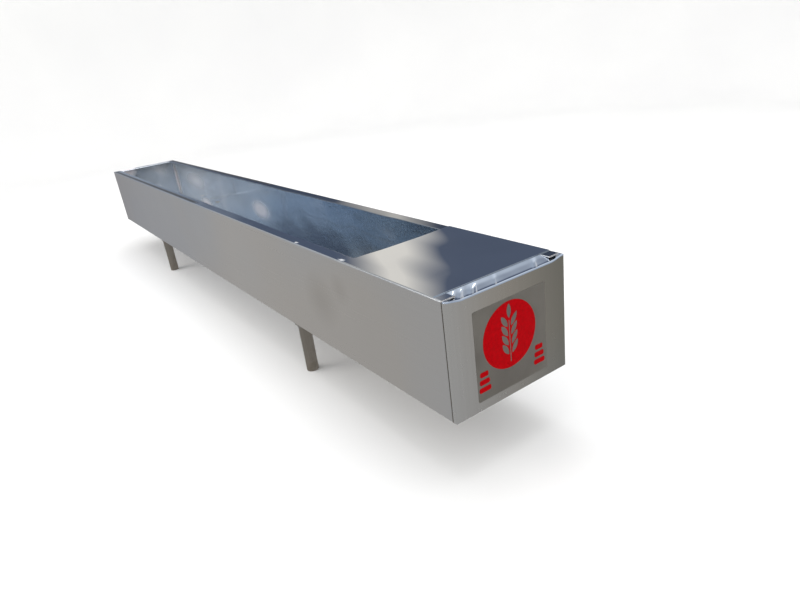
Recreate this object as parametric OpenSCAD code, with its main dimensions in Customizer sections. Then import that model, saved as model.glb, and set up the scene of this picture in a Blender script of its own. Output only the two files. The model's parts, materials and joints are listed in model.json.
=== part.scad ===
// Long sheet-metal livestock trough on four pipe legs. A lift-off cover closes the chamber at
// one end, which holds a float valve behind a baffle; a threaded plug drains the other end.
// Origin: middle of the trough's plan, on the ground. +X runs along the length towards the
// chamber, the front wall faces -Y, and +Z is up.

/* [Trough] */
// Outside length
trough_l = 3000; // [2000:50:4000]
// Outside width
trough_w = 345; // [320:5:500]
// Depth of the body, from its underside to the rim
trough_h = 283; // [270:1:400]
// Thickness of the folded sheet
sheet = 1.5; // [1:0.1:2]
// Inside radius of the folds
fold_r = 2.5; // [1.5:0.5:5]
// Width of the inward rim along the long sides
rim_w = 35; // [25:1:45]
// Width of the folded-under safety hem on the rim's inner edge
hem_w = 12; // [8:1:16]

/* [End pans] */
// Width of the inward lip on each end
lip_w = 50; // [40:1:60]
// How far an end pan wraps round the corner to its welded seam
pan_return = 12; // [10:1:20]
// Width of the ground weld bead in the seam
bead_w = 2.4; // [1.5:0.1:4]

/* [Legs] */
// Height of the trough's underside above the ground
leg_h = 160; // [150:5:300]
// Outside diameter of the leg pipe
leg_d = 38; // [32:1:42]
// Wall of the leg pipe
leg_wall = 1.5; // [1.2:0.1:3]
// Distance of each leg pair from the middle
leg_x = 755; // [500:5:950]
// Distance of a leg's centre in from the wall
leg_inset = 21; // [21:1:30]
// Side of the square pad that spreads a leg's load
pad_side = 56; // [50:1:60]
// Thickness of the pad
pad_t = 3; // [2:0.5:5]

/* [Cover and chamber] */
// Distance of the cover's free edge from the end
cover_reach = 390; // [370:5:420]
// Width of the end lip that the cover leaves bare
lip_bare = 40; // [34:1:42]
// Gap between the cover and the rim it lies on
cover_gap = 0.2; // [0.1:0.1:0.5]
// Depth of the cover's turned-down edge, below the rim
cover_drop = 14; // [10:1:20]
// Height of the flow slot under the baffle
flow_gap = 45; // [30:1:60]
// Width of the baffle's folded edges
baffle_fold = 15; // [12:1:18]

/* [Float valve] */
// Distance of the valve from the end
valve_from_end = 195; // [180:1:200]
// Depth of the valve's axis below the rim
valve_depth = 60; // [55:1:65]
// Outside diameter of the inlet thread
inlet_d = 20.96; // [20:0.01:21]
// Free length of thread beyond the locknut
inlet_free = 13; // [12:1:14]
// Distance from the lever's pivot to the float's centre
arm_l = 165; // [150:1:170]
// Diameter of the float
float_d = 90; // [80:1:96]
// How far the arm hangs below level when the trough is empty
arm_drop = 30; // [20:1:30]

/* [Drain] */
// Distance of the drain from the far end
drain_from_end = 150; // [100:10:300]
// Outside diameter of the plug's thread
drain_d = 33.2; // [26:0.1:34]

/* [Badge] */
// Side of the square film on the end
film_side = 214; // [150:1:220]
// Height of the film's centre below the rim
film_depth = 152; // [150:1:155]
// Diameter of the red disc
disc_d = 158; // [100:1:160]

/* [Hidden] */
$fn = 96;

eps = 0.01;
// How far a cutting solid runs past the face that it cuts
cut = 1;
fold_out = fold_r + sheet;
rim_z = leg_h + trough_h;
floor_z = leg_h + sheet;
end_x = trough_l / 2;
half_w = trough_w / 2;
wall_in = half_w - sheet;
mouth_half = half_w - rim_w;
seam_x = end_x - pan_return;
bead_proud = 0.3;
bead_root = 0.6;
pan_depth = pan_return - bead_w / 2;
leg_y = half_w - leg_inset;
disc_t = 3;
weld_leg = 4;
weld_out = 2;
cover_x0 = end_x - cover_reach;
cover_x1 = end_x - lip_bare;
cover_z = rim_z + cover_gap;
cover_half = half_w - 3;
turn_half = mouth_half - 2;
baffle_x = cover_x0 + 12;
baffle_z0 = floor_z + flow_gap;
baffle_z1 = rim_z - 2 * sheet;
film_t = 0.3;

steel = [0.62, 0.62, 0.64];
bright_steel = [0.72, 0.74, 0.77];
dark_steel = [0.42, 0.42, 0.40];
pipe_steel = [0.45, 0.43, 0.40];
brass = [0.78, 0.62, 0.30];
pin_grey = [0.60, 0.60, 0.60];
black = [0.12, 0.12, 0.12];

// ---- helpers ---------------------------------------------------------------

// A rectangle with round corners: centred on X, standing on Y = 0.
module rounded(w, h, r) {
    translate([-w / 2, r]) square([w, h - 2 * r]);
    translate([-w / 2 + r, 0]) square([w - 2 * r, h]);
    for (x = [-w / 2 + r, w / 2 - r], y = [r, h - r]) translate([x, y]) circle(r);
}

// Extrudes an outline drawn in (Y, Z) along +X from x0.
module along_x(x0, length) {
    translate([x0, 0, 0]) rotate([90, 0, 90]) linear_extrude(length) children();
}

// Extrudes an outline drawn in (X, Z) along Y, centred on Y = 0.
module along_y(width) {
    translate([0, width / 2, 0]) rotate([90, 0, 0]) linear_extrude(width) children();
}

// A folded pan: a flat plate at X = 0 with all four edges folded back by depth.
module pan(depth, w, h) {
    difference() {
        pan_block(depth, w, h, fold_out);
        translate([-sheet, 0, sheet]) pan_block(depth, w - 2 * sheet, h - 2 * sheet, fold_r);
    }
}

// The pan's block: rounded where the plate folds, square and open at the back.
module pan_block(depth, w, h, r) {
    intersection() {
        along_x(-depth, depth) rounded(w, h, r);
        linear_extrude(h) rotate(90) rounded(w, 2 * depth + 2 * r, r);
        along_y(w) translate([-depth - r, 0]) rounded(2 * depth + 2 * r, h, r);
    }
}

module at_corners() {
    for (x = [-leg_x, leg_x], y = [-leg_y, leg_y]) translate([x, y, 0]) children();
}

module hex_nut(across_flats, h) {
    cylinder(h = h, r = across_flats / 2 / cos(30), $fn = 6);
}

// ---- trough body -----------------------------------------------------------

// Cross-section of the trough: floor, two walls and the inward rims with folded-under hems.
module trough_section() {
    difference() {
        rounded(trough_w, trough_h, fold_out);
        translate([0, sheet]) rounded(trough_w - 2 * sheet, trough_h - 2 * sheet, fold_r);
        translate([-mouth_half - sheet, trough_h / 2])
            square([2 * (mouth_half + sheet), trough_h]);
    }
    for (side = [-1, 1]) translate([side * (mouth_half + sheet), trough_h - sheet]) {
        circle(sheet);
        translate([side > 0 ? 0 : -hem_w, -sheet]) square([hem_w, sheet]);
    }
}

module trough_shell() {
    shell_l = 2 * seam_x - bead_w;
    color(steel) difference() {
        translate([0, 0, leg_h]) along_x(-shell_l / 2, shell_l) trough_section();
        translate([drain_x, 0, leg_h - cut])
            cylinder(h = sheet + 2 * cut, d = drain_d + 2 * plug_gap);
        at_valve(-sheet - cut) cylinder(h = sheet + 2 * cut, d = shank_d);
    }
}

// An end pan in the +X position: the plate, its wrapped edges, and the inward lip with a hem.
module end_pan() {
    lip_x0 = end_x - lip_w + sheet;
    translate([end_x, 0, leg_h]) pan(pan_depth, trough_w, trough_h);
    translate([lip_x0, -mouth_half, rim_z - sheet])
        cube([end_x - pan_depth + eps - lip_x0, 2 * mouth_half, sheet]);
    translate([lip_x0, -mouth_half, rim_z - 2 * sheet]) cube([hem_w, 2 * mouth_half, sheet]);
    translate([lip_x0, 0, rim_z - sheet]) rotate([90, 0, 0])
        cylinder(h = 2 * mouth_half, r = sheet, center = true);
}

module chamber_end_pan() {
    color(dark_steel) end_pan();
}

module far_end_pan() {
    color(steel) mirror([1, 0, 0]) end_pan();
}

// The ground bead that fills the gap between an end pan and the shell, proud on both faces.
module seam() {
    grow = 2 * bead_proud;
    shrink = 2 * (sheet + bead_root);
    translate([0, 0, leg_h]) along_x(seam_x - bead_w / 2, bead_w) difference() {
        translate([0, -bead_proud])
            rounded(trough_w + grow, trough_h + grow, fold_out + bead_proud);
        translate([0, shrink / 2])
            rounded(trough_w - shrink, trough_h - shrink, fold_r - bead_root);
        translate([-mouth_half, trough_h / 2]) square([2 * mouth_half, trough_h]);
    }
}

module chamber_end_seam() {
    color(bright_steel) seam();
}

module far_end_seam() {
    color(bright_steel) mirror([1, 0, 0]) seam();
}

// ---- cover and chamber -----------------------------------------------------

// Side view of the cover's turned-down edge, with its fold at the origin's top left.
module turned_edge() {
    drop = cover_drop + cover_gap;
    translate([0, -drop]) square([sheet, drop - fold_r]);
    intersection() {
        translate([fold_out, -fold_r]) difference() {
            circle(fold_out);
            circle(fold_r);
        }
        translate([0, -fold_r]) square(fold_out);
    }
}

module cover_plate() {
    color(bright_steel) {
        translate([cover_x0 + fold_out, -cover_half, cover_z])
            cube([cover_x1 - cover_x0 - fold_out, 2 * cover_half, sheet]);
        for (side = [-1, 1])
            translate([cover_x0, side > 0 ? turn_half : -cover_half, cover_z])
                cube([fold_out, cover_half - turn_half, sheet]);
        translate([cover_x0, 0, cover_z]) along_y(2 * turn_half) turned_edge();
    }
}

// Two angle cleats under the cover that hook inside the end lip, so it can't slide off.
module cover_cleats() {
    cleat_w = 30;
    cleat_l = 20;
    cleat_x1 = end_x - lip_w - 2;
    color(steel) for (side = [-1, 1])
        translate([cleat_x1 - cleat_l, side * mouth_half / 2 - cleat_w / 2, 0]) {
            translate([0, 0, cover_z - sheet]) cube([cleat_l, cleat_w, sheet]);
            translate([cleat_l - sheet, 0, cover_z - cover_drop])
                cube([sheet, cleat_w, cover_drop - sheet]);
        }
}

// The baffle that shields the float: a pan welded between the walls, open at the bottom.
module baffle() {
    color(steel) translate([baffle_x, 0, baffle_z0])
        mirror([1, 0, 0]) pan(baffle_fold, 2 * wall_in, baffle_z1 - baffle_z0);
}

// ---- legs ------------------------------------------------------------------

module leg(x, y) {
    color(pipe_steel) translate([x, y, disc_t]) difference() {
        cylinder(h = leg_h - pad_t - disc_t, d = leg_d);
        translate([0, 0, -cut]) cylinder(h = leg_h, d = leg_d - 2 * leg_wall);
    }
}

module front_chamber_leg() {
    leg(leg_x, -leg_y);
}

module back_chamber_leg() {
    leg(leg_x, leg_y);
}

module front_far_leg() {
    leg(-leg_x, -leg_y);
}

module back_far_leg() {
    leg(-leg_x, leg_y);
}

// Square load-spreading pads, set inwards so that they stay under the floor.
module leg_pads() {
    edge_gap = 2;
    corner_r = 5;
    pad_in = pad_side / 2 - leg_inset + edge_gap;
    color(pipe_steel) for (x = [-leg_x, leg_x], side = [-1, 1])
        translate([x, side * (leg_y - pad_in) - pad_side / 2, leg_h - pad_t])
            linear_extrude(pad_t) rounded(pad_side, pad_side, corner_r);
}

module leg_welds() {
    r = leg_d / 2;
    color(dark_steel) translate([0, 0, leg_h - pad_t]) at_corners() rotate_extrude()
        polygon([[r, 0], [r + weld_out, 0], [r, -weld_leg]]);
}

module foot_discs() {
    r = leg_d / 2;
    chamfer = 1;
    color(pipe_steel) at_corners() rotate_extrude()
        polygon([[0, 0], [r - chamfer, 0], [r, chamfer], [r, disc_t], [0, disc_t]]);
}

// ---- drain -----------------------------------------------------------------

drain_x = -end_x + drain_from_end;
socket_wall = 6;
socket_r = drain_d / 2 + socket_wall;
socket_h = 22;
plug_head_h = 10;
drain_washer_t = 2;
plug_gap = 0.1;

module drain_socket() {
    color(steel) translate([drain_x, 0, leg_h - socket_h]) difference() {
        cylinder(h = socket_h, r = socket_r);
        translate([0, 0, -cut]) cylinder(h = socket_h + 2 * cut, d = drain_d + 2 * plug_gap);
    }
}

module drain_plug() {
    head_z = leg_h - socket_h - drain_washer_t - plug_gap;
    color(brass) translate([drain_x, 0, head_z]) {
        cylinder(h = floor_z - head_z, d = drain_d);
        translate([0, 0, -plug_head_h]) hex_nut(drain_d + 4, plug_head_h);
    }
}

module drain_washer() {
    color(black)
        translate([drain_x, 0, leg_h - socket_h - drain_washer_t - plug_gap]) difference() {
            cylinder(h = drain_washer_t, r = socket_r - 1);
            translate([0, 0, -cut]) cylinder(h = drain_washer_t + 2 * cut, d = drain_d);
        }
}

// ---- badge -----------------------------------------------------------------

disc_y = -5;
disc_depth = 132;
grain_r = 26;
grain_w = 13;

module badge_film() {
    color([0.36, 0.36, 0.34]) translate([0, 0, rim_z - film_depth - film_side / 2])
        along_x(end_x, film_t) rounded(film_side, film_side, 4);
}

// One grain of the ear: a pointed oval, the overlap of two circles.
module grain() {
    shift = grain_r - grain_w / 2;
    intersection() {
        translate([shift, 0]) circle(grain_r);
        translate([-shift, 0]) circle(grain_r);
    }
}

// A plain ear of grain: a stalk, leaning pairs of grains and one at the tip.
module grain_ear() {
    stalk_w = 3;
    stalk_l = 100;
    foot_y = -66;
    row_y = -32;
    row_pitch = 22;
    grain_x = 14;
    lean = 32;
    translate([-stalk_w / 2, foot_y]) square([stalk_w, stalk_l]);
    for (row = [0:3], side = [-1, 1])
        translate([side * grain_x, row_y + row_pitch * row]) rotate(-side * lean) grain();
    translate([0, row_y + 4 * row_pitch]) grain();
}

// A red disc with the ear cut out of it, and two stacks of plain round-ended bars.
module badge_mark() {
    bar_w = 34;
    bar_h = 12;
    bar_step = 5;
    bar_pitch = 18;
    bar_x = 84;
    bar_depth = 238;
    middle_y = -2;
    color([0.75, 0.02, 0.03]) along_x(end_x + film_t, film_t) {
        translate([disc_y, rim_z - disc_depth]) difference() {
            circle(disc_d / 2);
            grain_ear();
        }
        for (bar = [0:2], side = [-1, 1])
            translate([side * bar_x + middle_y, rim_z - bar_depth + bar_pitch * bar])
                rounded(bar_w - bar_step * bar, bar_h, 4);
    }
}

// ---- float valve -----------------------------------------------------------

// The valve's own frame: its Z runs from the wall's inner face into the trough, and Y is up.
valve_x = end_x - valve_from_end;
valve_z = rim_z - valve_depth;
module at_valve(z = 0) {
    translate([valve_x, wall_in, valve_z]) rotate([90, 0, 0]) translate([0, 0, z]) children();
}

washer_t = 2;
nut_t = 7;
// The shank is relieved where it passes through the nut, the washers and the wall
shank_d = inlet_d - 0.4;
body_flats = 27;
body_hex_h = 6;
inlet_bore_r = 6.5;
barrel_r = 12;
bore_r = 8;
barrel_l = 58;
seat_z = 18;
seat_t = 4;
nozzle_h = 2;
nozzle_r = 4;
orifice_r = 2.5;
spout_z = seat_z + seat_t + 3;
spout_l = 22;
spout_r = 5.5;
spout_bore_r = 4;
pivot_z = 40;
pivot_y = -14;
pin_r = 1.5;
ear_in = 4.6;
ear_t = 3.4;
ear_r = 5.5;
ear_h = 6;
lever_slot_l = 18;
lever_slot_h = 8;
lever_half = 4.2;
lever_reach = 10.5;
piston_gap = 0.1;
// Travel of the piston, which the lever's tip drives through half the drop on each side of upright
piston_travel = lever_reach * arm_drop * PI / 180;
piston_z0 = seat_z + seat_t + nozzle_h + 1.3 + piston_travel;
piston_l = 22.5;
slot_w = 7;
disc_r = 6;
disc_h = 3;
disc_proud = 1;
rod_r = 3.2;
rod_drop = 6;
boss_l = 14;
boss_r = 7;
boss_in = 3;
thread_out = sheet + washer_t + nut_t + inlet_free;

module valve_body() {
    color(brass) at_valve() difference() {
        union() {
            translate([0, 0, -thread_out]) cylinder(h = thread_out + washer_t, d = shank_d);
            translate([0, 0, -thread_out]) cylinder(h = inlet_free, d = inlet_d);
            translate([0, 0, washer_t]) hex_nut(body_flats, body_hex_h);
            translate([0, 0, washer_t + body_hex_h])
                cylinder(h = barrel_l - washer_t - body_hex_h, r = barrel_r);
            translate([0, 0, spout_z]) rotate([90, 0, 0]) cylinder(h = spout_l, r = spout_r);
            for (side = [-1, 1]) translate([side * (ear_in + ear_t / 2), pivot_y, pivot_z]) {
                rotate([0, 90, 0]) cylinder(h = ear_t, r = ear_r, center = true);
                translate([-ear_t / 2, 0, -ear_r]) cube([ear_t, ear_h, 2 * ear_r]);
            }
        }
        translate([0, 0, -thread_out - cut])
            cylinder(h = thread_out + seat_z + 2 * cut, r = inlet_bore_r);
        translate([0, 0, seat_z]) cylinder(h = barrel_l, r = bore_r);
        translate([0, 0, spout_z]) rotate([90, 0, 0])
            cylinder(h = spout_l + cut, r = spout_bore_r);
        translate([-ear_in, -barrel_r - cut, pivot_z - lever_slot_l / 2])
            cube([2 * ear_in, lever_slot_h, lever_slot_l]);
        translate([0, pivot_y, pivot_z]) rotate([0, 90, 0])
            cylinder(h = 40, r = pin_r, center = true);
    }
}

module valve_end_cap() {
    lip = 6;
    cap_t = 3;
    cap_wall = 2;
    color(brass) at_valve(barrel_l - lip) difference() {
        cylinder(h = lip + cap_t, r = barrel_r + cap_wall);
        translate([0, 0, -cut]) cylinder(h = lip + cut, r = barrel_r);
    }
}

module valve_seat() {
    color([0.93, 0.93, 0.90]) at_valve(seat_z) difference() {
        union() {
            cylinder(h = seat_t, r = bore_r);
            cylinder(h = seat_t + nozzle_h, r = nozzle_r);
        }
        translate([0, 0, -cut]) cylinder(h = seat_t + nozzle_h + 2 * cut, r = orifice_r);
    }
}

module inlet_washers() {
    washer_w = 5.5;
    color(black) for (z = [0, -sheet - washer_t]) at_valve(z) difference() {
        cylinder(h = washer_t, r = inlet_d / 2 + washer_w);
        translate([0, 0, -cut]) cylinder(h = washer_t + 2 * cut, d = shank_d);
    }
}

module inlet_locknut() {
    nut_flats = 30;
    color(brass) at_valve(-sheet - washer_t - nut_t) difference() {
        hex_nut(nut_flats, nut_t);
        translate([0, 0, -cut]) cylinder(h = nut_t + 2 * cut, d = shank_d);
    }
}

// The pin lies across the valve: a headed shank with a small ring at its far end.
module lever_pin() {
    half = ear_in + ear_t + 0.5;
    head_r = 2.6;
    head_t = 1;
    color(pin_grey) at_valve() translate([0, pivot_y, pivot_z]) rotate([0, 90, 0]) {
        cylinder(h = 2 * half, r = pin_r, center = true);
        for (end = [-1, 1]) translate([0, 0, end * half])
            cylinder(h = head_t, r = head_r, center = true);
    }
}

// The piston slides in the barrel; the lever's tip works in the blind slot under it.
module valve_piston() {
    slot_z = pivot_z + piston_travel / 2 - slot_w / 2;
    color(brass) at_valve() difference() {
        translate([0, 0, piston_z0]) cylinder(h = piston_l, r = bore_r - piston_gap);
        translate([0, 0, piston_z0 - disc_proud]) cylinder(h = disc_h, r = disc_r);
        translate([-lever_half, -bore_r - cut, slot_z])
            cube([2 * lever_half, bore_r + 0.2, slot_w]);
    }
}

module piston_washer() {
    color(black) at_valve(piston_z0 - disc_proud) cylinder(h = disc_h, r = disc_r);
}

// The lever's own frame has its origin on the pivot and the float arm level; at rest it hangs.
module at_lever() {
    at_valve() translate([0, pivot_y, pivot_z]) rotate([arm_drop, 0, 0]) children();
}

// Lever hub on the pin, the tip that moves the piston, and the long rod down to the float.
module float_arm() {
    hub_r = 4.2;
    tip_l = 10.4;
    tip_r = 1.8;
    tip_w = 7;
    rod_z = 5;
    rod_l = arm_l - float_d / 2 - rod_z - 2;
    bore_gap = 0.08;
    color(brass) at_lever() difference() {
        union() {
            rotate([0, 90, 0]) cylinder(h = 2 * lever_half, r = hub_r, center = true);
            rotate([-arm_drop / 2, 0, 0]) {
                translate([-tip_w / 2, 0, -tip_r]) cube([tip_w, tip_l, 2 * tip_r]);
                translate([0, tip_l, 0]) rotate([0, 90, 0])
                    cylinder(h = tip_w, r = tip_r, center = true);
            }
            translate([-lever_half, -rod_drop - rod_r, -1]) cube([2 * lever_half, 9, 11]);
            translate([0, -rod_drop, rod_z]) cylinder(h = rod_l, r = rod_r);
        }
        rotate([0, 90, 0]) cylinder(h = 20, r = pin_r + bore_gap, center = true);
    }
}

module arm_nut() {
    nut_h = 5;
    nut_flats = 11;
    boss_z = arm_l - float_d / 2 - boss_l + boss_in;
    color(pin_grey) at_lever() translate([0, -rod_drop, boss_z - nut_h]) difference() {
        hex_nut(nut_flats, nut_h);
        translate([0, 0, -cut]) cylinder(h = nut_h + 2 * cut, r = rod_r);
    }
}

// The float: a hollow ball with a moulded belt and a boss that takes the end of the rod.
module float_ball() {
    r = float_d / 2;
    wall = 2;
    belt_h = 1.5;
    belt_out = 1;
    color([0.86, 0.42, 0.10]) at_lever() translate([0, -rod_drop, arm_l]) difference() {
        union() {
            sphere(r);
            translate([0, 0, -belt_h / 2]) cylinder(h = belt_h, r = r + belt_out);
            translate([0, 0, -r - boss_l + boss_in]) cylinder(h = boss_l, r = boss_r);
        }
        difference() {
            sphere(r - wall);
            translate([0, 0, -r]) cylinder(h = boss_l, r = boss_r);
        }
        translate([0, 0, -r - boss_l]) cylinder(h = boss_l - wall + eps, r = rod_r);
    }
}

trough_shell();
chamber_end_pan();
far_end_pan();
chamber_end_seam();
far_end_seam();
cover_plate();
cover_cleats();
baffle();
front_chamber_leg();
back_chamber_leg();
front_far_leg();
back_far_leg();
leg_pads();
leg_welds();
foot_discs();
drain_socket();
drain_plug();
drain_washer();
badge_film();
badge_mark();
valve_body();
valve_end_cap();
valve_seat();
inlet_washers();
inlet_locknut();
lever_pin();
valve_piston();
piston_washer();
float_arm();
arm_nut();
float_ball();
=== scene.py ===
"""Looks of the stainless trough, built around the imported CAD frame.

Metres, +Z up, +X towards the covered chamber, -Y towards the front wall.
The folded sheets are the CAD sheets themselves, cut into a fine grid and given the slight
waviness of real thin sheet. The leg welds are remade as rippled beads. Everything else keeps its
CAD node and gets a better material.
"""

import json
import math

import bmesh
import bpy
from mathutils import Matrix, Vector

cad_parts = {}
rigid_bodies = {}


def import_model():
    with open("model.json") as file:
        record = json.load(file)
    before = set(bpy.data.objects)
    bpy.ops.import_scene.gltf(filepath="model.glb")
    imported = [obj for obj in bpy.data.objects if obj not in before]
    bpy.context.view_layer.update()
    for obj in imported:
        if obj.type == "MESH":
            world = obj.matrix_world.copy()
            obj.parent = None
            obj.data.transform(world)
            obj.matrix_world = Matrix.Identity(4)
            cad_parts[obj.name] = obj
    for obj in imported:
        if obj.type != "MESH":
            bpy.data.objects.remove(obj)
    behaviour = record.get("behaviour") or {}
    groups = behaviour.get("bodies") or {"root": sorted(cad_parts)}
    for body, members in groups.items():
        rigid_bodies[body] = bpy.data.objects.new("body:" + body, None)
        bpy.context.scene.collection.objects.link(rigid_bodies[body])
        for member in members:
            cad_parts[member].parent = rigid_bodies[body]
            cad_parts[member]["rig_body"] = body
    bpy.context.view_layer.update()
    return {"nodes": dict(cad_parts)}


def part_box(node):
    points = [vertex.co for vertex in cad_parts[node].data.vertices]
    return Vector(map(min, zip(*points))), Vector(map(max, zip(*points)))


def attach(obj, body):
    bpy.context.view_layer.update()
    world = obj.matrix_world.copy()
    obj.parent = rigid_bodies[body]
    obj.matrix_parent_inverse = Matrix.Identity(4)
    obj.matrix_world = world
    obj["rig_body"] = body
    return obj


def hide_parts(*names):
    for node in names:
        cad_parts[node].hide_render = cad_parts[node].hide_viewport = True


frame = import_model()

# ---- places taken from the frame -------------------------------------------

SHELL_LO, SHELL_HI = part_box("trough_shell")
PAN_LO, PAN_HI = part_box("chamber_end_pan")
COVER_LO, COVER_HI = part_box("cover_plate")
BAFFLE_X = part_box("baffle")[0].x
DRAIN_X = (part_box("drain_socket")[0].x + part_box("drain_socket")[1].x) / 2
RIM_Z = SHELL_HI.z
UNDER_Z = SHELL_LO.z
HALF_W = SHELL_HI.y
SEAM_X = SHELL_HI.x
END_X = PAN_HI.x
LIP_X = PAN_LO.x
MM = 0.001
RIM_W = 35 * MM
MOUTH_HALF = HALF_W - RIM_W
# Faces above this height belong to the rims and lips, and the folds lie just below it
RIM_BAND_Z = RIM_Z - 3.2 * MM
# Points above this height move with the rims and lips
RIM_MOVE_Z = RIM_Z - 4 * MM


def smooth(low, high, x):
    """0 below low, 1 above high, and a smooth step between them."""
    t = min(max((x - low) / (high - low), 0.0), 1.0)
    return t * t * (3 - 2 * t)


def wave(t, terms):
    """A sum of sine waves along t, from -1 to 1. A term is (share, wavelength, phase)."""
    total = sum(share for share, _, _ in terms)
    return sum(s * math.sin(2 * math.pi * t / length + phase) for s, length, phase in terms) / total


# ---- sheet metal: CAD sheets on a fine grid, with real waviness -------------

def stations(low, high, step):
    count = max(1, round((high - low) / step))
    return [low + (high - low) * i / count for i in range(1, count)]


def cut_grid(bm, axis, places):
    """Cuts every face that crosses each place along the axis."""
    normal = Vector([float(i == axis) for i in range(3)])
    pending = set(bm.faces)
    for place in places:
        crossing = []
        for face in pending:
            along = [v.co[axis] for v in face.verts]
            if min(along) < place - 1e-6 and max(along) > place + 1e-6:
                crossing.append(face)
        if not crossing:
            continue
        geom = set(crossing)
        for face in crossing:
            geom.update(face.edges)
            geom.update(face.verts)
        cut = bmesh.ops.bisect_plane(
            bm, geom=list(geom), dist=1e-7, plane_co=normal * place, plane_no=normal
        )
        pending.update(g for g in cut["geom"] if isinstance(g, bmesh.types.BMFace))
        pending = {
            f for f in pending if f.is_valid and max(v.co[axis] for v in f.verts) > place + 1e-6
        }


def sheet_piece(node, name, materials, steps, field, sides=None, sharp_deg=28):
    """A wavy copy of a CAD sheet that stands for it. steps are the grid's spacing along X, Y and Z,
    field moves a point, and sides gives a face's material index from its centre and normal."""
    mesh = frame["nodes"][node].data.copy()
    mesh.name = name
    mesh.materials.clear()
    for material in materials:
        mesh.materials.append(material)
    bm = bmesh.new()
    bm.from_mesh(mesh)
    bmesh.ops.remove_doubles(bm, verts=bm.verts, dist=2e-6)
    bmesh.ops.dissolve_limit(
        bm, angle_limit=math.radians(0.2), verts=bm.verts, edges=bm.edges, delimit={"NORMAL"}
    )
    lo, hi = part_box(node)
    for axis, step in enumerate(steps):
        if step:
            cut_grid(bm, axis, stations(lo[axis], hi[axis], step))
    bm.normal_update()
    for face in bm.faces:
        face.smooth = True
        if sides:
            face.material_index = sides(face.calc_center_median(), face.normal)
    for edge in bm.edges:
        edge.smooth = edge.calc_face_angle(0) < math.radians(sharp_deg)
    for vert in bm.verts:
        vert.co += field(vert.co)
    bm.to_mesh(mesh)
    bm.free()
    piece = bpy.data.objects.new(name, mesh)
    bpy.context.scene.collection.objects.link(piece)
    weighted = piece.modifiers.new("weighted", "WEIGHTED_NORMAL")
    weighted.keep_sharp = True
    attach(piece, frame["nodes"][node]["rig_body"])
    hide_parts(node)
    return piece


FRONT_WAVES = ((1.0, 1.10, 0.4), (0.7, 0.47, 1.9), (0.35, 0.23, 0.7))
BACK_WAVES = ((1.0, 0.90, 2.1), (0.8, 0.41, 0.2), (0.45, 0.20, 1.1))
RIM_WAVES = ((1.0, 0.71, 0.9), (0.8, 0.33, 2.4), (0.5, 0.17, 0.3))


# Scales of the shell's waviness: the walls' bow, the rims' tilt and the floor's sag
WALL_BOW = 1.1 * MM
RIM_TILT = 1.5 * MM
FLOOR_SAG = 0.7 * MM


def shell_field(p):
    """Walls oil-can inwards by up to 2.3 mm, rims tilt up and down a little, and the floor sags."""
    height = (p.z - UNDER_Z) / (RIM_Z - UNDER_Z)
    side = 1 if p.y > 0 else -1
    ends = smooth(0.0, 0.12, SEAM_X - abs(p.x))
    clear = 1 - 0.9 * (1 - smooth(0.02, 0.07, abs(p.x - BAFFLE_X - 0.008)))
    chamber = 1 - smooth(COVER_LO.x - 0.06, COVER_LO.x, p.x)
    move = Vector((0, 0, 0))
    at_wall = smooth(HALF_W - 0.012, HALF_W - 0.006, abs(p.y))
    belly = math.sin(math.pi * min(max(height, 0), 1))
    waves = BACK_WAVES if side > 0 else FRONT_WAVES
    depth = 1.1 + wave(p.x + 0.25 * height, waves)
    if side > 0:
        depth *= 0.15 + 0.85 * chamber
    move.y -= side * WALL_BOW * at_wall * belly * depth * ends * clear
    if p.z > RIM_MOVE_Z:
        inward = min((HALF_W - abs(p.y)) / (HALF_W - MOUTH_HALF), 1)
        tilt = wave(p.x + 0.31 * side, RIM_WAVES)
        move.z += RIM_TILT * inward * tilt * ends * chamber
    on_floor = smooth(0.0, 0.06, HALF_W - 0.05 - abs(p.y))
    if p.z < UNDER_Z + 3 * MM:
        drain = smooth(0.03, 0.12, abs(p.x - DRAIN_X))
        move.z -= FLOOR_SAG * on_floor * drain * ends * (1 + wave(p.x, BACK_WAVES)) * clear
    return move


def shell_side(centre, normal):
    """0 on the outside of the walls and floor, 1 on the inside, 2 on the rims."""
    if centre.z > RIM_BAND_Z and abs(centre.y) < HALF_W - 3.5 * MM:
        return 2
    out = Vector((0, centre.y, centre.z - (UNDER_Z + RIM_Z) / 2))
    return 0 if out.dot(normal) > 0 else 1


def cover_field(p):
    """The loose cover is dished and buckled between the rims that hold its edges."""
    between = smooth(0.0, 0.10, MOUTH_HALF - abs(p.y)) * smooth(-0.002, 0.08, LIP_X - p.x)
    u = (p.x - COVER_LO.x) / (COVER_HI.x - COVER_LO.x)
    v = p.y / HALF_W
    buckle = 0.5 * math.sin(2 * math.pi * (0.8 * u + 0.25 * v) + 0.6)
    buckle += 0.3 * math.sin(2 * math.pi * (1.5 * u + 0.45 * v) + 2.2)
    buckle += 0.2 * math.sin(2 * math.pi * (0.4 * u + 1.1 * v) + 4.0)
    return Vector((0, 0, -1.1 * MM * between * (1 + buckle)))


LIP_WAVES = ((1.0, 0.21, 0.5), (0.9, 0.11, 2.0), (0.5, 0.063, 1.1))
LIP_SAG = 6.5 * MM
# How far below its fold the end plate still drops with the sagging lip
PLATE_FADE = 40 * MM
# The sag fades out over this distance from the corners
CORNER_FADE = 45 * MM
# Creases across the chamber end's lip: (place along Y, half width, depth), in metres
CREASES = (
    (-0.146, 0.0060, 0.0024), (-0.124, 0.0055, 0.0020), (-0.092, 0.0090, 0.0036),
    (-0.030, 0.0045, 0.0016), (0.090, 0.0065, 0.0026), (0.150, 0.0060, 0.0020),
)


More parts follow.
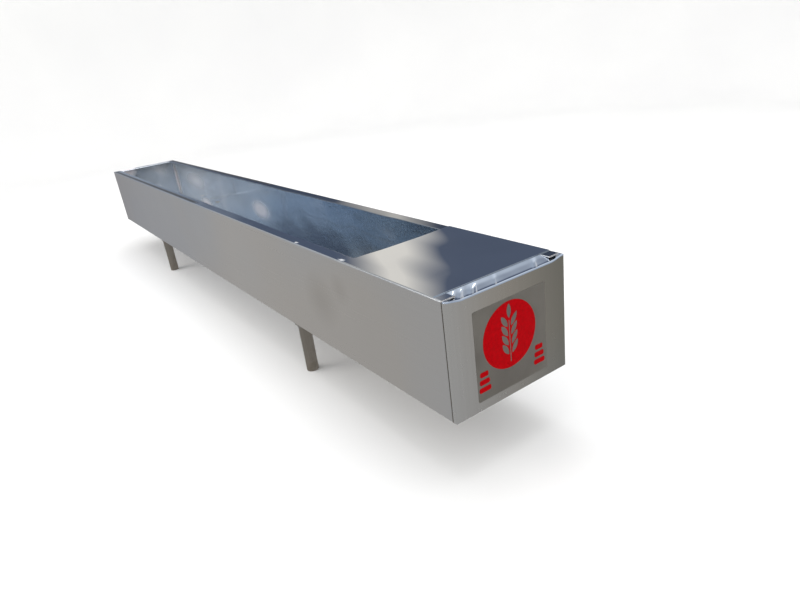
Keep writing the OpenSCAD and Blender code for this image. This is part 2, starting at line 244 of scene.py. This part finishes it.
def lip_move(sign, x, y):
    """How far a point of an end pan's lip drops. The far lip is a shallow valley. The chamber
    end's lip slopes down to a fold that sags between the corners, and it is creased."""
    edge = smooth(0.003, 0.016, HALF_W - abs(y))
    ripple = wave(y + 0.05 * sign, LIP_WAVES)
    if sign < 0:
        valley = smooth(LIP_X + 0.006, LIP_X + 0.030, x) * smooth(0.002, 0.014, END_X - x)
        return -1.9 * MM * valley * edge * (1 + 0.7 * ripple)
    slope = min(max((x - LIP_X - 0.008) / (END_X - LIP_X - 0.008), 0.0), 1.0)
    sag = LIP_SAG * smooth(0.0, CORNER_FADE, HALF_W - abs(y)) * slope
    valley = smooth(LIP_X + 0.008, LIP_X + 0.026, x) * smooth(0.0015, 0.008, END_X - x)
    slant = y + 0.9 * (x - END_X + 0.012)
    crease = sum(d * math.exp(-((slant - place) / w) ** 2) for place, w, d in CREASES)
    return -sag - valley * edge * (0.9 * MM * (1 + 0.5 * ripple) + crease)


def pan_field(sign):
    """Field of an end pan: a dished plate and a bent lip."""
    def field(p):
        x = sign * p.x
        height = (p.z - UNDER_Z) / (RIM_Z - UNDER_Z)
        across = max(0.0, 1 - (p.y / HALF_W) ** 2)
        dished = math.sin(math.pi * min(max(height, 0), 1)) * across
        plate = smooth(END_X - 6 * MM, END_X - 2.5 * MM, x)
        ripple = 1 + 0.5 * math.sin(19 * p.y + 7 * height) * math.sin(9 * height + 11 * p.y)
        move = Vector((-sign * 1.2 * MM * plate * dished * ripple, 0, 0))
        if p.z > RIM_MOVE_Z:
            move.z += lip_move(sign, x, p.y)
        elif sign > 0:
            below = smooth(RIM_MOVE_Z - PLATE_FADE, RIM_MOVE_Z, p.z)
            move.z -= LIP_SAG * below * plate * smooth(0.0, CORNER_FADE, HALF_W - abs(p.y))
        return move
    return field


# ---- welds ------------------------------------------------------------------

def weld_rings(node, name):
    """A rippled fillet bead round the top of each leg, in place of the plain CAD fillets."""
    lo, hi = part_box(node)
    leg_lo, leg_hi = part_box("front_chamber_leg")
    pipe_r = (leg_hi.x - leg_lo.x) / 2
    leg_x = (leg_hi.x + leg_lo.x) / 2
    leg_y = -(leg_hi.y + leg_lo.y) / 2
    around, ring, bead_r = 150, 10, 2.0 * MM
    bm = bmesh.new()
    for cx in (-leg_x, leg_x):
        for cy in (-leg_y, leg_y):
            loops = []
            for i in range(around):
                a = 2 * math.pi * i / around
                ripple = 1 + 0.12 * math.sin(30 * a) + 0.06 * math.sin(7 * a + cx)
                r = bead_r * ripple * 0.85
                loop = []
                for j in range(ring):
                    b = 2 * math.pi * j / ring
                    out = pipe_r - 0.3 * MM + r * math.cos(b)
                    z = hi.z - bead_r * 0.9 + r * math.sin(b)
                    loop.append(bm.verts.new((cx + out * math.cos(a), cy + out * math.sin(a), z)))
                loops.append(loop)
            for i in range(around):
                a, b = loops[i], loops[(i + 1) % around]
                for j in range(ring):
                    k = (j + 1) % ring
                    bm.faces.new((a[j], b[j], b[k], a[k]))
    bmesh.ops.recalc_face_normals(bm, faces=bm.faces)
    for face in bm.faces:
        face.smooth = True
    mesh = bpy.data.meshes.new(name)
    bm.to_mesh(mesh)
    bm.free()
    piece = bpy.data.objects.new(name, mesh)
    bpy.context.scene.collection.objects.link(piece)
    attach(piece, "trough")
    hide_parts(node)
    return piece


# ---- materials ---------------------------------------------------------------

class Graph:
    """The nodes of a material or a world, built call by call. Inputs are plain values or other
    nodes' sockets. coords is the texture coordinate that the noises and axes read."""

    def __init__(self, owner, coords="Object"):
        owner.use_nodes = True
        self.owner = owner
        self.tree = owner.node_tree
        self.tree.nodes.clear()
        self.coords = self.add("ShaderNodeTexCoord").outputs[coords]

    def add(self, kind, settings=None, **inputs):
        node = self.tree.nodes.new(kind)
        for key, value in (settings or {}).items():
            setattr(node, key, value)
        for key, value in inputs.items():
            self.put(node, key.replace("_", " "), value)
        return node

    def put(self, node, key, value):
        socket = node.inputs[int(key)] if key.isdigit() else node.inputs[key]
        if isinstance(value, bpy.types.NodeSocket):
            self.tree.links.new(value, socket)
        else:
            socket.default_value = value

    def stretched(self, scale, rotation=(0, 0, 0)):
        mapping = self.add("ShaderNodeMapping", Vector=self.coords)
        mapping.inputs["Scale"].default_value = scale
        mapping.inputs["Rotation"].default_value = rotation
        return mapping.outputs["Vector"]

    def noise(self, scale, detail=3.0, rough=0.5, vector=None, distort=0.0):
        texture = self.add(
            "ShaderNodeTexNoise", Vector=vector or self.coords, Scale=scale, Detail=detail,
            Roughness=rough, Distortion=distort,
        )
        return texture.outputs["Fac"]

    def ramp(self, fac, stops):
        """A colour ramp. Stops are (place, colour) with a number or three numbers as the colour."""
        ramp = self.add("ShaderNodeValToRGB", Fac=fac)
        elements = ramp.color_ramp.elements
        while len(elements) < len(stops):
            elements.new(0.5)
        for element, (place, colour) in zip(elements, stops):
            tone = (colour,) * 3 if isinstance(colour, (int, float)) else colour
            element.position = place
            element.color = (*tone, 1)
        return ramp.outputs["Color"]

    def span(self, value, low, high, to_low, to_high):
        node = self.add("ShaderNodeMapRange", Value=value)
        node.inputs["From Min"].default_value = low
        node.inputs["From Max"].default_value = high
        node.inputs["To Min"].default_value = to_low
        node.inputs["To Max"].default_value = to_high
        return node.outputs["Result"]

    def math(self, operation, a, b=0.0):
        node = self.add("ShaderNodeMath", {"operation": operation})
        self.put(node, "0", a)
        self.put(node, "1", b)
        return node.outputs["Value"]

    def mix(self, fac, a, b, blend="MIX"):
        node = self.add("ShaderNodeMix", {"data_type": "RGBA", "blend_type": blend})
        self.put(node, "0", fac)
        self.put(node, "6", a)
        self.put(node, "7", b)
        return node.outputs[2]

    def axis(self, letter):
        return self.add("ShaderNodeSeparateXYZ", Vector=self.coords).outputs[letter]

    def spot(self, place, radii, strength, crisp=0.2):
        """A soft-edged oval: strength at place, fading to 0 at the radii."""
        mapping = self.add("ShaderNodeMapping", Vector=self.coords)
        mapping.inputs["Location"].default_value = [-c / r for c, r in zip(place, radii)]
        mapping.inputs["Scale"].default_value = [1 / r for r in radii]
        measure = self.add(
            "ShaderNodeVectorMath", {"operation": "LENGTH"}, Vector=mapping.outputs["Vector"]
        )
        return self.span(measure.outputs["Value"], crisp, 1.0, strength, 0.0)

    def spots(self, marks):
        """The sum of several spots."""
        total = self.spot(*marks[0])
        for mark in marks[1:]:
            total = self.math("ADD", total, self.spot(*mark))
        return total

    def bump(self, height, strength, distance, normal=None):
        node = self.add("ShaderNodeBump", Height=height, Strength=strength, Distance=distance)
        if normal:
            self.put(node, "Normal", normal)
        return node.outputs["Normal"]

    def surface(self, **inputs):
        shader = self.add("ShaderNodeBsdfPrincipled")
        for key, value in inputs.items():
            self.put(shader, key.replace("_", " "), value)
        output = self.add("ShaderNodeOutputMaterial")
        self.tree.links.new(shader.outputs["BSDF"], output.inputs["Surface"])
        return self.owner


def material_graph(name):
    return Graph(bpy.data.materials.new(name))


def rgb(r, g, b):
    return (r, g, b, 1)


def satin_steel(name, tones, rough, grain=(1.2, 90, 900), letter="X", stains=()):
    """Brushed sheet: tones that drift along an axis, soft patches, brush lines, scuffs, stains."""
    g = material_graph(name)
    reach = END_X if letter == "X" else HALF_W
    along = g.span(g.axis(letter), -reach, reach, 0, 1)
    patch = g.noise(2.6, 2.0, 0.45, distort=0.4)
    tone = g.math("ADD", along, g.math("MULTIPLY", g.math("SUBTRACT", patch, 0.5), 0.2))
    base = g.ramp(tone, tones)
    if stains:
        base = g.mix(g.spots(stains), base, rgb(0.20, 0.18, 0.15))
    warm = g.ramp(g.noise(1.4, 1.0), ((0.40, (0.97, 1.0, 1.04)), (0.62, (1.04, 1.0, 0.95))))
    lines = g.noise(1.0, 4.0, 0.6, g.stretched(grain))
    brushed = g.ramp(lines, ((0.30, 0.97), (0.70, 1.02)))
    colour = g.mix(1.0, g.mix(1.0, base, warm, "MULTIPLY"), brushed, "MULTIPLY")
    scuff = g.noise(38, 5.0, 0.7, distort=1.2)
    roughness = g.math(
        "ADD",
        g.span(lines, 0.3, 0.7, rough - 0.03, rough + 0.03),
        g.span(scuff, 0.55, 0.75, 0.0, 0.05),
    )
    normal = g.bump(lines, 0.02, 0.0002)
    return g.surface(Base_Color=colour, Metallic=1.0, Roughness=roughness, Normal=normal)


def mirror_steel(name, tint, rough, smear=0.10, peel=0.05):
    """Bright rolled sheet: almost a mirror, with faint rolling lines, smears and orange peel."""
    g = material_graph(name)
    patch = g.noise(3.2, 2.0, 0.5, distort=0.6)
    base = g.ramp(patch, ((0.35, [0.90 * c for c in tint]), (0.65, tint)))
    wipe = g.noise(5.0, 4.0, 0.6, g.stretched((1.0, 3.0, 3.0)), distort=1.5)
    roughness = g.span(wipe, 0.42, 0.80, rough, rough + smear)
    lines = g.noise(1.0, 3.0, 0.6, g.stretched((3, 260, 260)))
    fine = g.bump(lines, peel, 0.0001)
    normal = g.bump(g.noise(55, 1.0), peel, 0.0006, fine)
    return g.surface(Base_Color=base, Metallic=1.0, Roughness=roughness, Normal=normal)


def trough_lining(name, tint, dust, marks):
    """The bright inside of the trough. A dry film is thickest at the far end. Painted shade makes it
    darker and bluer towards the chamber end and the bottom, the floor is rougher and has painted shade,
    more towards the chamber end, and marks are pale painted reflections that are also less metallic."""
    g = material_graph(name)
    wipe = g.noise(5.0, 4.0, 0.6, g.stretched((1.0, 3.0, 3.0)), distort=1.5)
    # Painted shade: darker and bluer towards the chamber end and towards the bottom
    chamber_painted_shade = g.ramp(
        g.math("ADD", g.span(g.axis("X"), -END_X, COVER_LO.x, 0, 1),
               g.span(g.axis("Z"), UNDER_Z, RIM_Z, 0.12, -0.10)),
        ((0.16, (1.0, 1.0, 1.0)), (0.34, (0.84, 0.89, 0.95)), (0.55, (0.76, 0.84, 0.93)),
         (0.95, (0.76, 0.80, 0.82))),
    )
    base = g.mix(1.0, g.ramp(wipe, ((0.35, [0.93 * c for c in tint]), (0.65, tint))), chamber_painted_shade, "MULTIPLY")
    floor = g.span(g.axis("Z"), UNDER_Z + 2 * MM, UNDER_Z + 9 * MM, 1.0, 0.0)
    # Painted shade on the floor, more towards the chamber end
    floor_painted_shade = g.math("MULTIPLY", floor, g.span(g.axis("X"), -0.6, 0.3, 0.25, 0.5))
    base = g.mix(floor_painted_shade, base, rgb(*[0.30 * c for c in tint]))
    # Pale painted reflections, which also make the steel less metallic
    painted_reflection = g.math("MINIMUM", g.spots(marks), 0.85)
    film = g.math("ADD", g.span(g.axis("X"), -END_X, 0.0, dust, 0.035), painted_reflection)
    base = g.mix(painted_reflection, base, rgb(0.90, 0.80, 0.79))
    roughness = g.math("ADD", g.span(wipe, 0.42, 0.80, 0.05, 0.11), g.math("MULTIPLY", floor, 0.1))
    lines = g.noise(1.0, 3.0, 0.6, g.stretched((3, 260, 260)))
    normal = g.bump(g.noise(55, 1.0), 0.010, 0.0006, g.bump(lines, 0.04, 0.0001))
    metallic = g.math("SUBTRACT", 1.0, film)
    return g.surface(Base_Color=base, Metallic=metallic, Roughness=roughness, Normal=normal)


def rim_steel(name, tint):
    """The rims: bright, with painted shade on the rear rim, painted dark and rubbed rougher along the
    outer edge of the far half, and with painted glints.
    """
    g = material_graph(name)
    across = g.math("ABSOLUTE", g.axis("Y"))
    outer = g.span(across, MOUTH_HALF + 13 * MM, MOUTH_HALF + 18 * MM, 0.0, 1.0)
    # Painted dark band along the outer edge of the far half, which is also rubbed rougher
    dull = g.math("MULTIPLY", outer, g.span(g.axis("X"), -0.06, 0.0, 1.0, 0.0))
    # Painted shade: the rear rim is darker than the front
    back_rim_painted_shade = g.span(g.axis("Y"), -0.1, 0.1, 1.0, 0.52)
    bright = g.mix(1.0, rgb(*tint), back_rim_painted_shade, "MULTIPLY")
    scratch = g.noise(1.0, 4.0, 0.65, g.stretched((12, 420, 420)))
    # The rims' colour with the painted dark band
    worn = g.mix(dull, bright, rgb(0.17, 0.165, 0.165))
    # Painted glints: pale, less metallic spots
    painted_glint = g.spots(PAINTED_GLINTS)
    base = g.mix(painted_glint, worn, rgb(0.95, 0.95, 0.95))
    rubbed = g.math("ADD", g.span(scratch, 0.35, 0.7, 0.03, 0.09), g.math("MULTIPLY", dull, 0.3))
    normal = g.bump(scratch, 0.05, 0.0001)
    metallic = g.math("SUBTRACT", 1.0, g.math("MULTIPLY", painted_glint, 0.7))
    return g.surface(Base_Color=base, Metallic=metallic, Roughness=rubbed, Normal=normal)


def weld_metal(name, tint, inside):
    """Ground weld: dull, blotchy, and heat-tinted in places. It is inside times brighter where
    the walls' inner faces were polished."""
    g = material_graph(name)
    blotch = g.noise(160, 4.0, 0.6)
    heat = g.noise(24, 2.0)
    depth = g.math("ABSOLUTE", g.axis("Y"))
    within = g.span(depth, HALF_W - 1.2 * MM, HALF_W - 0.6 * MM, inside, 1.0)
    dull = g.ramp(blotch, ((0.3, [0.55 * c for c in tint]), (0.7, tint)))
    base = g.mix(1.0, dull, within, "MULTIPLY")
    straw = g.ramp(heat, ((0.45, (1.0, 1.0, 1.0)), (0.70, (1.0, 0.86, 0.66))))
    roughness = g.span(blotch, 0.3, 0.7, 0.32, 0.60)
    normal = g.bump(g.noise(420, 3.0), 0.35, 0.0003)
    return g.surface(
        Base_Color=g.mix(1.0, base, straw, "MULTIPLY"), Metallic=1.0, Roughness=roughness,
        Normal=normal,
    )


def pipe_metal(name, tint):
    """Dull drawn pipe: lengthwise die lines, mud-coloured film near the foot, small scratches."""
    g = material_graph(name)
    lines = g.noise(1.0, 4.0, 0.6, g.stretched((420, 420, 6)))
    grime = g.noise(26, 5.0, 0.65)
    low = g.span(g.axis("Z"), 0.0, 0.11, 0.75, 0.05)
    dirt = g.math("MULTIPLY", low, g.span(grime, 0.35, 0.65, 0.0, 1.0))
    clean = g.ramp(lines, ((0.3, [0.80 * c for c in tint]), (0.7, tint)))
    colour = g.mix(dirt, clean, rgb(0.16, 0.13, 0.10))
    roughness = g.math("ADD", g.span(lines, 0.3, 0.7, 0.28, 0.42), g.math("MULTIPLY", dirt, 0.3))
    metallic = g.span(dirt, 0.0, 1.0, 1.0, 0.35)
    normal = g.bump(lines, 0.12, 0.0002)
    return g.surface(Base_Color=colour, Metallic=metallic, Roughness=roughness, Normal=normal)


def turned_brass(name):
    """Cast and turned brass with a little tarnish, and the rolled thread on the inlet."""
    g = material_graph(name)
    tarnish = g.noise(70, 4.0, 0.6)
    base = g.ramp(tarnish, ((0.35, (0.42, 0.26, 0.10)), (0.62, (0.80, 0.58, 0.26))))
    roughness = g.span(tarnish, 0.35, 0.65, 0.48, 0.26)
    rings = g.add("ShaderNodeTexWave", {"bands_direction": "Y"}, Vector=g.coords, Scale=280.0)
    outside = g.span(g.axis("Y"), HALF_W + 9.1 * MM, HALF_W + 9.6 * MM, 0.0, 1.0)
    thread = g.math("MULTIPLY", rings.outputs["Fac"], outside)
    cast = g.bump(g.noise(600, 3.0), 0.12, 0.0003)
    normal = g.bump(thread, 1.0, 0.0012, cast)
    return g.surface(Base_Color=base, Metallic=1.0, Roughness=roughness, Normal=normal)


def moulded(name, tint, rough, speck=0.06, bump=0.08, gloss=0.5):
    """Moulded plastic or rubber: slight colour drift, fine texture, worn patches."""
    g = material_graph(name)
    drift = g.noise(40, 3.0)
    low = [max(0.0, (1 - speck * 2.5) * c) for c in tint]
    base = g.ramp(drift, ((0.3, low), (0.7, tint)))
    roughness = g.span(g.noise(22, 4.0, 0.6), 0.3, 0.7, rough - 0.08, rough + 0.12)
    normal = g.bump(g.noise(900, 2.0), bump, 0.0002)
    return g.surface(
        Base_Color=base, Roughness=roughness, Normal=normal, Specular_IOR_Level=gloss
    )


def film_material(name):
    """Clear adhesive film over steel: a darker, softer patch with faint trapped bubbles."""
    g = material_graph(name)
    drift = g.noise(9, 2.0, distort=0.5)
    base = g.ramp(drift, ((0.35, (0.20, 0.185, 0.165)), (0.65, (0.24, 0.225, 0.20))))
    bubbles = g.add("ShaderNodeTexVoronoi", Vector=g.coords, Scale=90.0).outputs["Distance"]
    blister = g.span(bubbles, 0.0, 0.12, 1.0, 0.0)
    roughness = g.span(g.noise(30, 4.0), 0.3, 0.7, 0.30, 0.46)
    normal = g.bump(blister, 0.25, 0.0002)
    return g.surface(Base_Color=base, Metallic=0.75, Roughness=roughness, Normal=normal)


def printed_red(name):
    """Screen-printed red: dense ink with slight mottling and a few rubbed specks."""
    g = material_graph(name)
    mottle = g.noise(120, 4.0, 0.6)
    base = g.ramp(mottle, ((0.30, (0.31, 0.0, 0.002)), (0.62, (0.40, 0.0, 0.003))))
    rubbed = g.span(g.noise(260, 3.0, 0.7), 0.74, 0.78, 0.0, 0.5)
    colour = g.mix(rubbed, base, rgb(0.22, 0.10, 0.09))
    roughness = g.span(mottle, 0.3, 0.7, 0.40, 0.55)
    normal = g.bump(mottle, 0.03, 0.0002)
    return g.surface(
        Base_Color=colour, Roughness=roughness, Normal=normal, Specular_IOR_Level=0.02
    )


# Painted shade: the outer walls are darker towards the far end
WALL_PAINTED_SHADE_TONES = ((0.0, (0.47, 0.47, 0.50)), (0.62, (0.66, 0.65, 0.64)), (1.0, (0.62, 0.62, 0.62)))
WALL_STAINS = (
    ((0.95, -HALF_W, 0.30), (0.10, 0.05, 0.09), 0.16),
    ((1.07, -HALF_W, 0.36), (0.05, 0.05, 0.05), 0.12),
)
OUTSIDE = satin_steel("satin_outside", WALL_PAINTED_SHADE_TONES, 0.30, stains=WALL_STAINS)
# Painted dark reflection: the chamber end plate is darkened, most towards the rear
END_PAINTED_DARK_TONES = ((0.0, (0.62, 0.62, 0.61)), (0.5, (0.47, 0.455, 0.425)), (1.0, (0.29, 0.29, 0.265)))
END = satin_steel("satin_end", END_PAINTED_DARK_TONES, 0.24, (160, 160, 1.5), "Y")
FAR_TONES = ((0.0, (0.58, 0.58, 0.60)), (1.0, (0.60, 0.60, 0.61)))
FAR_END = satin_steel("far_end", FAR_TONES, 0.24, (160, 160, 1.5), "Y")
# Pale spots painted inside as reflections: place, half sizes, strength and how crisp the edge is
PAINTED_REFLECTION_SPOTS = (
    ((-0.235, 0.171, 0.305), (0.125, 0.03, 0.055), 0.55, 0.35),
    ((-1.120, 0.171, 0.355), (0.260, 0.03, 0.070), 0.30, 0.10),
    ((-1.020, 0.171, 0.235), (0.110, 0.03, 0.040), 0.60, 0.30),
    ((-0.720, 0.171, 0.300), (0.045, 0.03, 0.190), 0.16, 0.10),
    ((-1.497, 0.168, 0.330), (0.016, 0.012, 0.150), 0.60, 0.30),
    ((-1.497, -0.100, 0.430), (0.030, 0.060, 0.045), 0.80, 0.40),
)
# Painted glints on the front rim: pale, less metallic spots
PAINTED_GLINTS = (
    ((0.846, 0.008 - HALF_W, RIM_Z), (0.012, 0.006, 0.006), 0.9),
    ((1.092, 0.009 - HALF_W, RIM_Z), (0.016, 0.008, 0.006), 0.9),
)
INSIDE = trough_lining("bright_inside", (0.87, 0.90, 0.93), 0.26, PAINTED_REFLECTION_SPOTS)
RIM = rim_steel("bright_rim", (0.80, 0.84, 0.88))
MIRROR = mirror_steel("mirror_cover", (0.88, 0.90, 0.91), 0.01, 0.02, 0.012)
# Painted dark blue reflection: the lip is tinted darker and bluer than the cover
LIP = mirror_steel("bright_lip", (0.72, 0.77, 0.86), 0.03, 0.04, 0.012)
GROUND = weld_metal("ground_seam", (0.20, 0.19, 0.18), 4.0)
BEAD = weld_metal("weld_bead", (0.42, 0.41, 0.39), 1.0)
PIPE = pipe_metal("drawn_pipe", (0.34, 0.31, 0.27))
PIN = mirror_steel("bright_pin", (0.62, 0.62, 0.62), 0.22, 0.10)
BRASS = turned_brass("turned_brass")
RUBBER = moulded("rubber", (0.035, 0.035, 0.036), 0.62, gloss=0.35)
NYLON = moulded("nylon", (0.86, 0.85, 0.80), 0.42)
FLOAT = moulded("float_plastic", (0.80, 0.22, 0.03), 0.30)
FILM = film_material("badge_film")
RED = printed_red("printed_red")


def dress(piece, slot, *materials):
    piece.data.materials.clear()
    for material in materials:
        piece.data.materials.append(material)


# ---- the sheets ---------------------------------------------------------------

def pan_side(sign):
    """0 on an end pan's outer plate, 1 inside it and on its lip."""
    def side(centre, normal):
        if centre.z > RIM_BAND_Z:
            return 1
        outward = sign * normal.x
        if abs(outward) < 0.5:
            out = Vector((0, centre.y / HALF_W, 3 * (centre.z - RIM_Z + UNDER_Z)))
            outward = out.dot(normal)
        return 0 if outward > 0 else 1
    return side


sheet_piece(
    "trough_shell", "wavy_shell", (OUTSIDE, INSIDE, RIM), (0.020, 0.023, 0.020),
    shell_field, shell_side,
)
sheet_piece(
    "chamber_end_pan", "wavy_end_pan", (END, LIP), (0.003, 0.003, 0.012),
    pan_field(1), pan_side(1),
)
sheet_piece(
    "far_end_pan", "wavy_far_pan", (FAR_END, INSIDE), (0.004, 0.006, 0.012),
    pan_field(-1), pan_side(-1),
)
sheet_piece(
    "cover_plate", "wavy_cover", (MIRROR,), (0.006, 0.006, 0.005), cover_field
)
sheet_piece("badge_film", "wavy_film", (FILM,), (0, 0.006, 0.012), pan_field(1))
sheet_piece("badge_mark", "wavy_mark", (RED,), (0, 0.006, 0.012), pan_field(1))

dress(weld_rings("leg_welds", "leg_beads"), "weld_steel", BEAD)

# ---- CAD nodes that keep their shape --------------------------------------------

KEPT = (
    ("body_steel", INSIDE, ("baffle", "cover_cleats")),
    ("weld_steel", GROUND, ("chamber_end_seam", "far_end_seam")),
    ("pipe_steel", PIPE, ("front_chamber_leg", "back_chamber_leg", "front_far_leg",
                          "back_far_leg", "leg_pads", "foot_discs", "drain_socket")),
    ("pin_steel", PIN, ("lever_pin", "arm_nut")),
    ("brass", BRASS, ("drain_plug", "valve_body", "valve_end_cap", "inlet_locknut",
                      "valve_piston", "float_arm")),
    ("rubber", RUBBER, ("drain_washer", "inlet_washers", "piston_washer")),
    ("nylon", NYLON, ("valve_seat",)),
    ("float_plastic", FLOAT, ("float_ball",)),
)
for slot, material, nodes in KEPT:
    for node in nodes:
        dress(frame["nodes"][node], slot, material)

# ---- studio: pale floor that sweeps up all round, soft lights -----------------------

def sweep(radius=7.0, curve=1.6, wall=1.6):
    """A round pale floor whose rim curves up into a low wall."""
    profile = [(0.0, 0.0), (1.5, 0.0), (3.0, 0.0), (radius - curve, 0.0)]
    for i in range(1, 13):
        a = math.pi / 2 * i / 12
        profile.append((radius - curve + curve * math.sin(a), curve - curve * math.cos(a)))
    profile.append((radius, curve + wall))
    around = 96
    bm = bmesh.new()
    rings = []
    for r, z in profile[1:]:
        ring = []
        for i in range(around):
            a = 2 * math.pi * i / around
            ring.append(bm.verts.new((r * math.cos(a), r * math.sin(a), z)))
        rings.append(ring)
    bm.faces.new(rings[0])
    for a, b in zip(rings, rings[1:]):
        for i in range(around):
            k = (i + 1) % around
            bm.faces.new((a[i], b[i], b[k], a[k]))
    for face in bm.faces:
        face.smooth = True
    mesh = bpy.data.meshes.new("studio_sweep")
    bm.to_mesh(mesh)
    bm.free()
    floor = bpy.data.objects.new("studio_sweep", mesh)
    bpy.context.scene.collection.objects.link(floor)
    g = material_graph("studio_paint")
    tone = g.ramp(g.noise(0.8, 2.0), ((0.3, (0.80, 0.80, 0.80)), (0.7, (0.83, 0.83, 0.825))))
    mesh.materials.append(g.surface(Base_Color=tone, Roughness=0.9, Specular_IOR_Level=0.1))
    return floor


def softbox(name, place, target, size, power, colour):
    light = bpy.data.lights.new(name, "AREA")
    light.shape = "RECTANGLE"
    light.size, light.size_y = size
    light.energy = power
    light.color = colour
    lamp = bpy.data.objects.new(name, light)
    lamp.location = place
    lamp.rotation_euler = (Vector(target) - Vector(place)).to_track_quat("-Z", "Y").to_euler()
    lamp.visible_camera = False
    bpy.context.scene.collection.objects.link(lamp)
    return lamp


# The plain room that the steel mirrors
WALL = (0.40, 0.45, 0.52)
SHADE = (0.08, 0.10, 0.15)
GROUND_GREY = (0.46, 0.46, 0.46)
GAP = (0.85, 0.81, 0.75)
CEILING = (0.70, 0.75, 0.80)
# Heights in degrees over which the ground gives way to the wall, and the wall to the ceiling
HORIZON = (-5.0, 5.0)
CORNICE = (25.0, 45.0)
# Azimuths in degrees: the wall facing the camera is in shade, with a soft pale gap in its middle
SHADE_SIDE = (
    (0, WALL), (115, WALL), (130, SHADE), (142, SHADE), (147, GAP), (152, SHADE), (160, SHADE),
    (175, WALL), (360, WALL),
)


def studio_air(fill):
    """An even white studio. The steel mirrors it as a plain room: grey-blue walls with one side
    in shade, a grey ground and a pale ceiling."""
    world = bpy.data.worlds.new("studio_air")
    g = Graph(world, "Generated")
    back_x = g.math("MULTIPLY", g.axis("X"), -1.0)
    back_y = g.math("MULTIPLY", g.axis("Y"), -1.0)
    turn = g.math("ADD", g.math("DIVIDE", g.math("ARCTAN2", back_y, back_x), 2 * math.pi), 0.5)
    rise = g.math("DIVIDE", g.math("ARCSINE", g.axis("Z")), math.radians(1))
    walls = g.ramp(turn, [(azimuth / 360, colour) for azimuth, colour in SHADE_SIDE])
    upper = g.mix(g.span(rise, *CORNICE, 0.0, 1.0), walls, rgb(*CEILING))
    room = g.mix(g.span(rise, *HORIZON, 0.0, 1.0), rgb(*GROUND_GREY), upper)
    mirrored = g.add("ShaderNodeLightPath").outputs["Is Glossy Ray"]
    seen = g.mix(mirrored, rgb(*fill), room)
    shader = g.add("ShaderNodeBackground", Color=seen)
    output = g.add("ShaderNodeOutputWorld")
    g.tree.links.new(shader.outputs["Background"], output.inputs["Surface"])
    bpy.context.scene.world = world


def camera():
    """The photograph's view: over the covered end, looking down the trough, rolled a little."""
    azimuth, elevation, roll = math.radians(147.0), math.radians(22.7), math.radians(-7.5)
    forward = Vector((
        math.cos(elevation) * math.cos(azimuth),
        math.cos(elevation) * math.sin(azimuth),
        -math.sin(elevation),
    ))
    level = forward.cross(Vector((0, 0, 1))).normalized()
    upright = level.cross(forward)
    right = level * math.cos(roll) + upright * math.sin(roll)
    up = upright * math.cos(roll) - level * math.sin(roll)
    data = bpy.data.cameras.new("camera")
    data.sensor_width = 36
    data.lens = 26.95
    data.clip_start, data.clip_end = 0.05, 60
    cam = bpy.data.objects.new("camera", data)
    length = 2 * END_X
    place = Vector((0.780 * length, -0.273 * length, UNDER_Z + 0.248 * length))
    cam.matrix_world = Matrix.Translation(place) @ Matrix((right, up, -forward)).transposed().to_4x4()
    bpy.context.scene.collection.objects.link(cam)
    bpy.context.scene.camera = cam


sweep().visible_glossy = False
studio_air((1.25, 1.25, 1.25))
softbox("key", (-1.6, -4.0, 3.4), (0, 0, 0.3), (3.0, 2.0), 60, (1.0, 0.97, 0.93))
softbox("top", (0.6, 0.6, 4.2), (0.3, 0, 0.3), (4.0, 2.0), 60, (0.97, 0.98, 1.0))
camera()
bpy.context.scene.view_settings.view_transform = "Standard"
bpy.context.scene.cycles.glossy_bounces = 8
